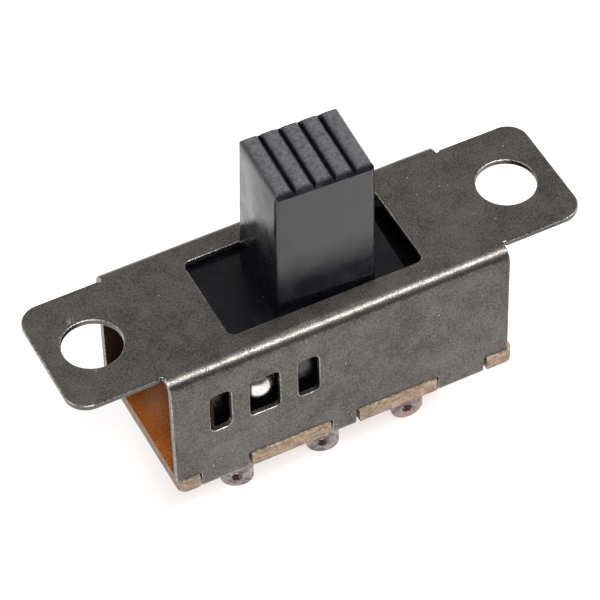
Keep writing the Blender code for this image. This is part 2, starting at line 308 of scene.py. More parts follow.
    def scratches(self, angle: float, size: float, rarity: float) -> bpy.types.NodeSocket:
        """Fine straight scratches that run at an angle on a horizontal face.

        Args:
            angle: their direction in degrees.
            size: their spacing in millimetres.
            rarity: from 0 to 1, how few there are.

        Returns:
            1 on a scratch and 0 beside it.
        """
        lines = self.noise(size, 1.0, vector=self.stretched((1, 0.08, 0.08), (0, 0, angle)))
        hair = self.between(self.maths("ABSOLUTE", self.maths("SUBTRACT", lines, 0.5), 0.0), 0.0, 0.012, 1.0, 0.0)
        patches = self.between(self.noise(4.0 * size, 1.0, vector=self.turned((angle, 20, 70))), rarity, rarity + 0.08)
        return self.maths("MULTIPLY", hair, patches)


@dataclass(frozen=True)
class PlatedSteel:
    """Sheet steel with a dark plated coat: mottled, a little warm, with scratches and bright specks, and darkened by
    painted shade inside the channel.
    """

    name: str = "dark_plated_steel"
    dark: Colour = (0.038, 0.0355, 0.033)
    light: Colour = (0.128, 0.119, 0.110)
    warm: Colour = (0.112, 0.094, 0.074)
    bare: Colour = (0.62, 0.60, 0.57)
    # painted shade: the colour that darkens the coat inside the channel
    inside: Colour = (0.045, 0.043, 0.042)
    roughness: tuple[float, float] = (0.24, 0.36)

    def make(self) -> bpy.types.Material:
        """Builds the material."""
        recipe = Recipe(self.name)
        grain = recipe.noise(0.13, 4.0, 0.68)
        clouds = recipe.noise(1.7, 3.0, 0.6, 0.4)
        broad = recipe.noise(7.0, 2.0)
        tone = recipe.maths("ADD", recipe.maths("MULTIPLY", grain, 0.66), recipe.maths("MULTIPLY", clouds, 0.22))
        tone = recipe.maths("ADD", tone, recipe.maths("MULTIPLY", broad, 0.12))
        coat = recipe.blend(recipe.between(tone, 0.38, 0.64), self.dark, self.light)
        stain = recipe.between(recipe.noise(0.42, 3.0, 0.6), 0.50, 0.66, 0.0, 0.55)
        coat = recipe.blend(stain, coat, self.warm)
        # painted shade: the coat is darkened within the channel, on the walls' inner faces and the plate's underside
        channel = recipe.maths("MULTIPLY", recipe.between(recipe.along(1), 4.96, 5.00, 1.0, 0.0), recipe.below_plate())
        coat = recipe.blend(channel, coat, self.inside)
        speck = recipe.between(recipe.cells(0.62), 0.045, 0.085, 1.0, 0.0)
        chosen = recipe.between(recipe.noise(1.1, 1.0), 0.56, 0.62)
        wear = recipe.maths("MULTIPLY", speck, chosen)
        for angle, size, rarity in ((17.0, 0.55, 0.80), (-48.0, 0.70, 0.76)):
            wear = recipe.maths("MAXIMUM", wear, recipe.scratches(angle, size, rarity))
        recipe.link(recipe.blend(recipe.maths("MULTIPLY", wear, 0.7), coat, self.bare), "Base Color")
        recipe.link(recipe.between(tone, 0.35, 0.7, self.roughness[1], self.roughness[0]), "Roughness")
        recipe.constant("Metallic", 0.85)
        pits = recipe.between(recipe.cells(0.33), 0.0, 0.16)
        recipe.relief(((grain, 0.009), (pits, 0.003), (clouds, 0.010), (wear, 0.004)))
        return recipe.material


@dataclass(frozen=True)
class RimWearAndHighlight:
    """The rubbed rim of punched sheet, where patches of the coat have worn through; its lighter colour is partly that
    wear and partly painted edge highlight.
    """

    name: str = "sheared_steel_edge"
    dark: Colour = (0.075, 0.072, 0.068)
    light: Colour = (0.36, 0.35, 0.33)

    def make(self) -> bpy.types.Material:
        """Builds the material."""
        recipe = Recipe(self.name)
        streaks = recipe.noise(0.20, 3.0, 0.7)
        patches = recipe.noise(1.3, 2.0)
        tone = recipe.maths("ADD", recipe.maths("MULTIPLY", streaks, 0.6), recipe.maths("MULTIPLY", patches, 0.4))
        recipe.link(recipe.blend(recipe.between(tone, 0.36, 0.62), self.dark, self.light), "Base Color")
        recipe.link(recipe.between(streaks, 0.3, 0.7, 0.24, 0.40), "Roughness")
        recipe.constant("Metallic", 0.95)
        recipe.relief(((streaks, 0.008),))
        return recipe.material


@dataclass(frozen=True)
class MouldedPlastic:
    """Black moulded plastic with a slight orange-peel skin, handling marks and a little dust; painted light lightens
    the rib tops and painted shade turns the sheen down near the slot.
    """

    name: str = "black_moulded_plastic"
    index: float = 1.57
    colour: Colour = (0.003, 0.003, 0.005)
    worn: Colour = (0.009, 0.009, 0.012)
    # painted light: the rib tops' lighter colour and the heights over which it fades in
    rib_top_painted_light: Colour = (0.058, 0.057, 0.062)
    rib_light_from: float = 9.56
    rib_light_to: float = 9.82
    # painted shade: below these heights the sheen is turned down to a low level
    sheen_low: float = 1.6
    sheen_high: float = 4.8
    shaded_sheen_level: float = 0.14
    dust: Colour = (0.55, 0.55, 0.55)
    roughness: tuple[float, float] = (0.16, 0.34)

    def make(self) -> bpy.types.Material:
        """Builds the material."""
        recipe = Recipe(self.name)
        skin = recipe.noise(0.20, 3.0, 0.55)
        clouds = recipe.noise(1.6, 3.0, 0.6, 0.5)
        flow = recipe.noise(0.5, 2.0, vector=recipe.stretched((1.0, 1.0, 0.2)))
        marks = recipe.maths("MULTIPLY", recipe.between(clouds, 0.42, 0.72), recipe.between(flow, 0.35, 0.75))
        colour = recipe.blend(marks, self.colour, self.worn)
        # painted light: the rib crowns are lightened by height, in patches, so that the valleys between them read dark
        ribs = recipe.between(recipe.along(2), self.rib_light_from, self.rib_light_to)
        rib_light_patches = recipe.between(recipe.noise(0.25, 3.0, 0.65), 0.30, 0.62, 0.35, 1.0)
        colour = recipe.blend(recipe.maths("MULTIPLY", ribs, rib_light_patches), colour, self.rib_top_painted_light)
        fleck = recipe.between(recipe.cells(0.55), 0.03, 0.06, 1.0, 0.0)
        fleck = recipe.maths("MULTIPLY", fleck, recipe.between(recipe.noise(0.9, 1.0), 0.60, 0.66))
        recipe.link(recipe.blend(recipe.maths("MULTIPLY", fleck, 0.5), colour, self.dust), "Base Color")
        recipe.link(recipe.between(clouds, 0.3, 0.7, *self.roughness), "Roughness")
        recipe.constant("IOR", self.index)
        # painted shade: the sheen is lowered towards the slot to paint the dark reflection on the lower knob and the
        # base
        sheen_with_painted_shade = recipe.between(recipe.along(2), self.sheen_low, self.sheen_high, self.shaded_sheen_level, 0.5)
        recipe.link(sheen_with_painted_shade, "Specular IOR Level")
        recipe.relief(((skin, 0.006), (clouds, 0.02), (fleck, 0.006)))
        return recipe.material


@dataclass(frozen=True)
class PhenolicFace:
    """The pressed face of paper-phenolic sheet: glossy orange-brown over fine paper fibre."""

    name: str = "phenolic_face"
    dark: Colour = (0.33, 0.088, 0.014)
    light: Colour = (0.48, 0.140, 0.025)
    rim: Colour = (0.12, 0.095, 0.060)
    rim_pale: Colour = (0.30, 0.235, 0.170)
    rim_start: float = 4.95

    def make(self) -> bpy.types.Material:
        """Builds the material."""
        recipe = Recipe(self.name)
        fibre = recipe.noise(0.16, 4.0, 0.65, 0.5, recipe.stretched((0.45, 1.0, 1.0), (0, 0, 8)))
        cross = recipe.noise(0.14, 3.0, 0.6, 0.4, recipe.stretched((1.0, 0.45, 1.0), (0, 0, -14)))
        clouds = recipe.noise(2.5, 2.0)
        tone = recipe.maths("ADD", recipe.maths("MULTIPLY", fibre, 0.4), recipe.maths("MULTIPLY", cross, 0.3))
        tone = recipe.maths("ADD", tone, recipe.maths("MULTIPLY", clouds, 0.3))
        face = recipe.blend(recipe.between(tone, 0.38, 0.62), self.dark, self.light)
        rim = recipe.blend(recipe.between(recipe.noise(0.22, 3.0, 0.7), 0.42, 0.62), self.rim, self.rim_pale)
        outer = recipe.between(recipe.along(1), self.rim_start, self.rim_start + 0.25)
        recipe.link(recipe.blend(outer, face, rim), "Base Color")
        recipe.link(recipe.between(tone, 0.35, 0.65, 0.20, 0.32), "Roughness")
        recipe.constant("Coat Weight", 0.15)
        recipe.constant("Coat Roughness", 0.12)
        recipe.relief(((fibre, 0.006), (clouds, 0.03)))
        return recipe.material


@dataclass(frozen=True)
class PhenolicEdge:
    """The punched edge of the same sheet: pale, layered and fibrous, with resin stains."""

    name: str = "phenolic_cut_edge"
    tan: Colour = (0.24, 0.170, 0.108)
    olive: Colour = (0.125, 0.096, 0.055)
    pink: Colour = (0.35, 0.220, 0.165)
    resin: Colour = (0.12, 0.060, 0.028)

    def make(self) -> bpy.types.Material:
        """Builds the material."""
        recipe = Recipe(self.name)
        layers = recipe.noise(0.14, 3.0, 0.6, 0.4, recipe.stretched((0.12, 0.12, 1.0)))
        tufts = recipe.noise(0.45, 5.0, 0.72, 1.2)
        stains = recipe.noise(0.75, 4.0, 0.7, 0.8, recipe.stretched((1.0, 1.0, 1.3)))
        colour = recipe.blend(recipe.between(layers, 0.40, 0.62), self.olive, self.tan)
        colour = recipe.blend(recipe.between(tufts, 0.46, 0.62), colour, self.pink)
        colour = recipe.blend(recipe.between(stains, 0.50, 0.66, 0.0, 0.8), colour, self.resin)
        recipe.link(colour, "Base Color")
        recipe.link(recipe.between(tufts, 0.3, 0.7, 0.55, 0.85), "Roughness")
        recipe.relief(((tufts, 0.05), (layers, 0.03)))
        return recipe.material


@dataclass(frozen=True)
class TinnedBrass:
    """Solder-tinned brass with a purplish bloom, and coppery where the tin is thin."""

    name: str
    worn_share: float
    tin: Colour = (0.34, 0.30, 0.30)
    bloom: Colour = (0.16, 0.130, 0.137)
    copper: Colour = (0.40, 0.27, 0.215)

    def make(self) -> bpy.types.Material:
        """Builds the material."""
        recipe = Recipe(self.name)
        ripples = recipe.noise(0.45, 3.0, 0.55, 0.6)
        clouds = recipe.noise(1.1, 2.0)
        pits = recipe.between(recipe.cells(0.22), 0.0, 0.2)
        colour = recipe.blend(recipe.between(ripples, 0.36, 0.66), self.bloom, self.tin)
        edge = 0.72 - 0.4 * self.worn_share
        colour = recipe.blend(recipe.between(clouds, edge, edge + 0.12), colour, self.copper)
        recipe.link(colour, "Base Color")
        recipe.link(recipe.between(ripples, 0.3, 0.7, 0.40, 0.20), "Roughness")
        recipe.constant("Metallic", 0.95)
        recipe.relief(((ripples, 0.02), (pits, 0.006)))
        return recipe.material


@dataclass(frozen=True)
class PolishedMetal:
    """Smooth metal with faint rolling lines, for the balls, the spring wire and the clips."""

    name: str
    colour: Colour
    shade: Colour
    roughness: tuple[float, float]
    line: float

    def make(self) -> bpy.types.Material:
        """Builds the material."""
        recipe = Recipe(self.name)
        lines = recipe.noise(self.line, 3.0, 0.6, 0.2, recipe.stretched((1.0, 0.2, 1.0), (20, 0, 35)))
        film = recipe.noise(self.line * 6, 2.0)
        recipe.link(recipe.blend(recipe.between(film, 0.4, 0.7), self.colour, self.shade), "Base Color")
        recipe.link(recipe.between(lines, 0.3, 0.7, *self.roughness), "Roughness")
        recipe.constant("Metallic", 1.0)
        recipe.relief(((lines, 0.0015),))
        return recipe.material


# ---------------------------------------------------------------------------------------------
# Mesh building
# ---------------------------------------------------------------------------------------------


def arc(centre: Point, radius: float, start: float, end: float, steps: int) -> list[Point]:
    """Points on an arc.

    Args:
        centre: the arc's centre.
        radius: its radius.
        start: the first angle in degrees.
        end: the last angle in degrees.
        steps: how many segments it has.

    Returns:
        The points, with both ends.
    """
    angles = [math.radians(start + (end - start) * i / steps) for i in range(steps + 1)]
    return [(centre[0] + radius * math.cos(a), centre[1] + radius * math.sin(a)) for a in angles]


def circle(centre: Point, radius: float, steps: int = 64) -> list[Point]:
    """Points round a circle."""
    return arc(centre, radius, 0, 360, steps)[:-1]


def rounded_rectangle(centre: Point, width: float, height: float, radius: float, steps: int = 8) -> list[Point]:
    """Points round a rectangle with rounded corners.

    Args:
        centre: its centre.
        width: its size along the first axis.
        height: its size along the second axis.
        radius: the corners' radius.
        steps: how many segments each corner has.

    Returns:
        The points, anticlockwise.
    """
    points: list[Point] = []
    for start, side_x, side_y in ((0, 1, 1), (90, -1, 1), (180, -1, -1), (270, 1, -1)):
        corner = (centre[0] + side_x * (width / 2 - radius), centre[1] + side_y * (height / 2 - radius))
        points += arc(corner, radius, start, start + 90, steps)
    return points


def slab(outline: Sequence[Point], holes: Sequence[Sequence[Point]], top: float, thickness: float) -> bmesh.types.BMesh:
    """A flat plate in the XY plane, whose faces carry slot 0 and whose cut edges carry slot 1.

    Args:
        outline: the points round it.
        holes: the points round each hole.
        top: the height of its upper face.
        thickness: how far it reaches below that.

    Returns:
        The plate.
    """
    bm = bmesh.new()
    edges = []
    for loop in [outline, *holes]:
        verts = [bm.verts.new((x, y, top)) for x, y in loop]
        edges += [bm.edges.new((vert, verts[i - 1])) for i, vert in enumerate(verts)]
    bmesh.ops.triangle_fill(bm, edges=edges, use_beauty=True)
    extruded = bmesh.ops.extrude_face_region(bm, geom=bm.faces[:])
    lowered = [item for item in extruded["geom"] if isinstance(item, bmesh.types.BMVert)]
    bmesh.ops.translate(bm, verts=lowered, vec=(0, 0, -thickness))
    bm.normal_update()
    for face in bm.faces:
        face.material_index = 1 if abs(face.normal.z) < 0.5 else 0
    return bm


def slice_across(bm: bmesh.types.BMesh, positions: Iterable[float]) -> None:
    """Cuts every face where it crosses the given positions on the Y axis, so that it can bend there."""
    for position in positions:
        geometry = bm.verts[:] + bm.edges[:] + bm.faces[:]
        place = (0, position, 0)
        bmesh.ops.bisect_plane(bm, geom=geometry, plane_co=place, plane_no=(0, 1, 0), dist=1e-4)


def box_mesh(low: Sequence[float], high: Sequence[float]) -> bmesh.types.BMesh:
    """A box between two corners, for the rest of a shape to be cut from."""
    bm = bmesh.new()
    bmesh.ops.create_cube(bm, size=1.0)
    size = [b - a for a, b in zip(low, high)]
    middle = [(a + b) / 2 for a, b in zip(low, high)]
    bm.transform(Matrix.Translation(middle) @ Matrix.Diagonal((*size, 1.0)))
    return bm


def rod_mesh(centre: Sequence[float], radius: float, length: float, axis: str, steps: int = 64) -> bmesh.types.BMesh:
    """A cylinder along Y or Z, centred on a point, for boring and for pegs."""
    bm = bmesh.new()
    bmesh.ops.create_cone(bm, cap_ends=True, segments=steps, radius1=radius, radius2=radius, depth=length)
    turn = Matrix.Rotation(math.pi / 2, 4, "X") if axis == "Y" else Matrix.Identity(4)
    bm.transform(Matrix.Translation(centre) @ turn)
    return bm


class Piece:
    """A mesh on its way to becoming one dressed piece of the switch."""

    def __init__(self, name: str, bm: bmesh.types.BMesh) -> None:
        """Takes a mesh in millimetres and makes it an object in metres.

        Args:
            name: the piece's name.
            bm: its mesh, which this uses up.
        """
        bmesh.ops.recalc_face_normals(bm, faces=bm.faces)
        bm.transform(Matrix.Scale(MM, 4))
        mesh = bpy.data.meshes.new(name)
        bm.to_mesh(mesh)
        bm.free()
        mesh.shade_smooth()
        self.object = bpy.data.objects.new(name, mesh)
        bpy.context.scene.collection.objects.link(self.object)
        self.name = name

    def carve(self, bm: bmesh.types.BMesh, operation: str = "DIFFERENCE") -> Piece:
        """Cuts, joins or trims with another mesh, exactly.

        Args:
            bm: the other mesh, in millimetres.
            operation: the Boolean's operation.

        Returns:
            This piece.
        """
        tool = Piece("tool", bm).object
        step = self.object.modifiers.new("carve", "BOOLEAN")
        step.operation = operation
        step.solver = "EXACT"
        step.object = tool
        self.freeze()
        bpy.data.objects.remove(tool, do_unlink=True)
        return self

    def soften(
        self, width: float, segments: int = 3, edge_slot: int = -1, angle: float = 35.0, clamp: bool = True
    ) -> Piece:
        """Rounds the sharp edges.

        Args:
            width: the rounding's width in millimetres.
            segments: how many strips each rounding has.
            edge_slot: the material slot for them, or -1 for their neighbours'.
            angle: how sharp an edge has to be, in degrees.
            clamp: whether short edges narrow the rounding everywhere.

        Returns:
            This piece.
        """
        step = self.object.modifiers.new("soften", "BEVEL")
        step.width = width * MM
        step.segments = segments
        step.limit_method = "ANGLE"
        step.angle_limit = math.radians(angle)
        step.material = edge_slot
        step.harden_normals = True
        step.use_clamp_overlap = clamp
        step.miter_outer = "MITER_ARC"
        self.freeze()
        return self

    def freeze(self) -> None:
        """Makes the modifiers' result the piece's own mesh."""
        graph = bpy.context.evaluated_depsgraph_get()
        graph.update()
        frozen = bpy.data.meshes.new_from_object(self.object.evaluated_get(graph))
        self.object.modifiers.clear()
        old = self.object.data
        self.object.data = frozen
        bpy.data.meshes.remove(old)

    def dress(self, *materials: bpy.types.Material) -> Piece:
        """Gives the piece its materials, slot by slot, before its edges are rounded."""
        for material in materials:
            self.object.data.materials.append(material)
        return self

    def mount(self, body: Body, slot: str, *nodes: str) -> Piece:
        """Hangs the piece on its body and hides the CAD nodes that it stands for.

        Args:
            body: the body it rides on.
            slot: not used.
            nodes: the CAD nodes it replaces.

        Returns:
            This piece.
        """
        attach(self.object, body.value)
        if nodes:
            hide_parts(*nodes)
        rims = sum(1 for face in self.object.data.polygons if face.material_index)
        log.info("%s: %d faces on %s, %d of them rims", self.name, len(self.object.data.polygons), body.value, rims)
        return self


def middle_of(node: str) -> Vector:
    """The centre of a CAD node's box at rest, in millimetres."""
    low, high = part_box(node)
    return (low + high) / 2 / MM


# ---------------------------------------------------------------------------------------------
# The switch's sub-assemblies
# ---------------------------------------------------------------------------------------------


@dataclass
class SheetFrame:
    """The folded steel frame: a plate with two ears, two walls with detent windows, and crimped tabs."""

    sheet: float = 0.40
    length: float = 35.05
    ear_width: float = 8.90
    ear_corner: float = 1.45
    hole_pitch: float = 28.575
    hole_diameter: float = 3.85
    body_length: float = 23.30
    body_width: float = 10.70
    wall_bottom: float = -9.08
    relief_width: float = 0.20
    relief_depth: float = 0.10
    slot: tuple[float, float, float] = (13.24, 6.70, 0.45)
    tabs: tuple[tuple[float, float, float], ...] = ((-9.95, -6.65, 1.2), (-0.86, 0.86, 0.0), (6.65, 9.95, 1.2))
    curl: float = 0.50
    flap: float = 0.75
    curl_bottom: float = -10.57
    detent_x: float = -5.40
    detent_z: float = -4.02
    detent_pitch: float = 3.00
    side_window: tuple[float, float, float] = (1.45, 3.25, 0.45)
    middle_window: tuple[float, float, float] = (2.05, 3.15, 0.30)
    edge_round: float = 0.07

    def __post_init__(self) -> None:
        """Works out where the folds lie on the flat blank."""
        self.bend = (self.body_width - self.ear_width) / 2
        self.bend_neutral = self.bend - self.sheet / 2
        self.curl_neutral = self.curl - self.sheet / 2
        self.curl_z = self.curl_bottom + self.curl
        self.bend_start = self.ear_width / 2
        self.bend_end = self.bend_start + self.bend_neutral * math.pi / 2
        self.wall_end = self.bend_end - self.bend - self.wall_bottom
        self.curl_start = self.bend_end - self.bend - self.curl_z
        self.curl_end = self.curl_start + self.curl_neutral * math.pi / 2
        self.flap_end = self.curl_end + self.flap

    def folded(self, across: float, depth: float) -> Point:
        """Where a point of the blank ends up.

        Args:
            across: its distance from the blank's centre line.
            depth: its depth under the outer face.

        Returns:
            Its distance from the centre plane, and its height.
        """
        if across <= self.bend_start:
            return across, -depth
        if across <= self.bend_end:
            angle = (across - self.bend_start) / self.bend_neutral
            reach = self.bend - depth
            return self.bend_start + reach * math.sin(angle), -self.bend + reach * math.cos(angle)
        if across <= self.curl_start:
            return self.body_width / 2 - depth, -self.bend - (across - self.bend_end)
        reach = self.curl - depth
        centre = self.body_width / 2 - self.curl
        if across <= self.curl_end:
            angle = (across - self.curl_start) / self.curl_neutral
            return centre + reach * math.cos(angle), self.curl_z - reach * math.sin(angle)
        return centre - (across - self.curl_end), self.curl_z - reach

    def outline(self) -> list[Point]:
        """The flat blank's outline."""
        ear_x = self.length / 2
        ear_y = self.ear_width / 2
        body_x = self.body_length / 2
        relief_x = body_x + self.relief_width
        relief_y = ear_y - self.relief_depth
        corner = (ear_x - self.ear_corner, ear_y - self.ear_corner)
        right = arc(corner, self.ear_corner, 0, 90, 24)
        right += [(relief_x, ear_y), (relief_x, relief_y), (body_x, relief_y), (body_x, self.wall_end)]
        tabs: list[Point] = []
        for start, end, taper in reversed(self.tabs):
            near = taper if start < 0 else 0.0
            far = taper if start > 0 else 0.0
            tabs += [(end, self.wall_end), (end, self.curl_end), (end - far, self.flap_end)]
            tabs += [(start + near, self.flap_end), (start, self.curl_end), (start, self.wall_end)]
        back = right + tabs + [(-x, y) for x, y in reversed(right)]
        return back + [(-x, -y) for x, y in back]

    def window(self, step: int, side: int) -> list[Point]:
        """One detent window in the blank.

        Args:
            step: -1, 0 or 1 along the wall.
            side: -1 for the front wall and 1 for the rear one.

        Returns:
            The points round it.
        """
        size = self.middle_window if step == 0 else self.side_window
        across = self.bend_end - self.bend - self.detent_z
        return rounded_rectangle((self.detent_x + step * self.detent_pitch, side * across), *size)

    def build(self) -> Piece:
        """Cuts the blank, folds it and rounds its sheared edges."""
        holes = [circle((side * self.hole_pitch / 2, 0), self.hole_diameter / 2) for side in (-1, 1)]
        holes.append(rounded_rectangle((0, 0), *self.slot))
        holes += [self.window(step, side) for side in (-1, 1) for step in (-1, 0, 1)]
        bm = slab(self.outline(), holes, 0.0, self.sheet)
        folds = [self.bend_start + (self.bend_end - self.bend_start) * i / 14 for i in range(15)]
        folds += [self.curl_start + (self.curl_end - self.curl_start) * i / 8 for i in range(9)]
        slice_across(bm, folds + [-fold for fold in folds])
        for vert in bm.verts:
            side = math.copysign(1.0, vert.co.y)
            distance, height = self.folded(abs(vert.co.y), -vert.co.z)
            vert.co.y = side * distance
            vert.co.z = height
        for face in bm.faces:
            face.material_index = 0
        piece = Piece("steel_frame", bm).dress(PlatedSteel().make(), RimWearAndHighlight().make())
        # the rounded rims take the rim material: worn coat and painted highlight
        piece.soften(self.edge_round, 2, edge_slot=1, clamp=False)
        return piece.mount(Body.HOUSING, "frame_steel", "frame")


@dataclass
class TerminalBoard:
    """The punched phenolic board that closes the frame's underside."""

    top: float = -9.11
    thickness: float = 1.00
    corner: float = 0.55
    inset: float = 0.004
    notch_side: float = 0.15
    notch_floor: float = 4.88
    slot: Point = (2.25, 0.60)

    def build(self, tabs: Sequence[tuple[float, float, float]], places: Sequence[Vector]) -> Piece:
        """Makes the board.

        Args:
            tabs: the frame's tabs, which pass through notches.
            places: where each terminal passes through.

        Returns:
            The dressed piece.
        """
        low, high = (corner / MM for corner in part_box("terminal_board"))
        low.y += self.inset
        front = arc((low.x + self.corner, low.y + self.corner), self.corner, 180, 270, 10)
        for start, end, _ in tabs:
            left, right = start - self.notch_side, end + self.notch_side
            front += [(left, low.y), (left, -self.notch_floor), (right, -self.notch_floor), (right, low.y)]
        front += arc((high.x - self.corner, low.y + self.corner), self.corner, 270, 360, 10)
        outline = front + [(x, -y) for x, y in reversed(front)]
        slots = [rounded_rectangle((place.x, place.y), *self.slot, 0.04, 2) for place in places]
        piece = Piece("phenolic_board", slab(outline, slots, self.top, self.thickness))
        piece.dress(PhenolicFace().make(), PhenolicEdge().make()).soften(0.035, 2, 1)
        return piece.mount(Body.HOUSING, "phenolic", "terminal_board")


@dataclass
class SolderTerminal:
    """One tinned stamping: a blade inside, shoulders on the board, and a twisted lug below it."""

    row: Row
    index: int
    twist: float
    worn_share: float = 0.0
    stamping: float = 0.50
    lug_width: float = 2.15
    tip: float = -15.95
    hole: float = 0.66
    hole_up: float = 0.90
    blade_width: float = 2.20
    blade_top: float = -7.10
    shoulder_width: float = 2.90
    shoulder_top: float = -8.68
    shoulder_bottom: float = -9.08
    twist_top: float = -10.16
    twist_length: float = 0.90

    @property
    def node(self) -> str:
        """The CAD node that it stands for."""
        return "terminal_%s_%d" % (self.row.label, self.index)

    def outline(self) -> list[Point]:
        """Its outline, with height along the second axis."""
        blade = self.blade_width / 2
        shoulder = self.shoulder_width / 2
        lug = self.lug_width / 2
        right = [(lug, self.shoulder_bottom), (shoulder, self.shoulder_bottom)]
        right += [(shoulder, self.shoulder_top), (blade, self.shoulder_top)]
        right += [(blade, self.blade_top - 0.35), (blade - 0.35, self.blade_top)]
        round_end = arc((0, self.tip + lug), lug, 180, 360, 40)
        return round_end + right + [(-x, height) for x, height in reversed(right)]

    def turned(self, x: float, y: float, z: float) -> Vector:
        """Twists a point of the flat stamping about its centre line by its height."""
        share = min(max((self.twist_top - z) / self.twist_length, 0.0), 1.0)
        turn = math.radians(self.twist) * share * share * (3 - 2 * share)
        return Vector((x * math.cos(turn) - y * math.sin(turn), x * math.sin(turn) + y * math.cos(turn), z))

    def build(self) -> Piece:
        """Makes the stamping, and the swaged rim round its wire hole."""
        place = middle_of(self.node)
        hole_z = self.tip + self.hole_up
        bm = slab(self.outline(), [circle((0, hole_z), self.hole / 2, 40)], self.stamping / 2, self.stamping)
        slice_across(bm, [self.twist_top - self.twist_length * i / 12 for i in range(13)])
        lug_top = self.twist_top - self.twist_length
        slice_across(bm, [lug_top + (self.tip - lug_top) * i / 16 for i in range(1, 16)])
        for vert in bm.verts:
            vert.co = self.turned(vert.co.x, vert.co.z, vert.co.y)
            vert.co += Vector((place.x, place.y, 0))
        for face in bm.faces:
            face.material_index = 0
        worn = TinnedBrass("tinned_brass_%s_%d" % (self.row.label, self.index), self.worn_share).make()
        piece = Piece("solder_%s_%d" % (self.row.label, self.index), bm).dress(worn).soften(0.10, 3)
        for side in (-1, 1):
            self._rim(piece, place, hole_z, side)
        return piece.mount(Body.HOUSING, "tinned_brass", self.node)

    def _rim(self, piece: Piece, place: Vector, hole_z: float, side: int) -> None:
        """Joins a raised ring round the hole on one face.

        Args:
            piece: the stamping.
            place: the terminal's axis.
            hole_z: the hole's height.
            side: -1 for the front face and 1 for the rear one.
        """
        bm = bmesh.new()
        bm.from_mesh(piece.object.data)
        ring_radius, wire, steps, sides = self.hole / 2 + 0.10, 0.07, 48, 12
        rings = []
        for i in range(steps):
            around = 2 * math.pi * i / steps
            ring = []
            for k in range(sides):
                turn = 2 * math.pi * k / sides
                reach = ring_radius + wire * math.cos(turn)
                depth = side * (self.stamping / 2) + 0.5 * wire * math.sin(turn)
                point = self.turned(reach * math.cos(around), depth, hole_z + reach * math.sin(around))
                ring.append(bm.verts.new((point + Vector((place.x, place.y, 0))) * MM))
            rings.append(ring)
        faces = []
        for i, ring in enumerate(rings):
            before = rings[i - 1]
            for k in range(sides):
                faces.append(bm.faces.new((before[k - 1], before[k], ring[k], ring[k - 1])))
        for face in faces:
            face.smooth = True
        bmesh.ops.recalc_face_normals(bm, faces=faces)
        bm.to_mesh(piece.object.data)
        bm.free()


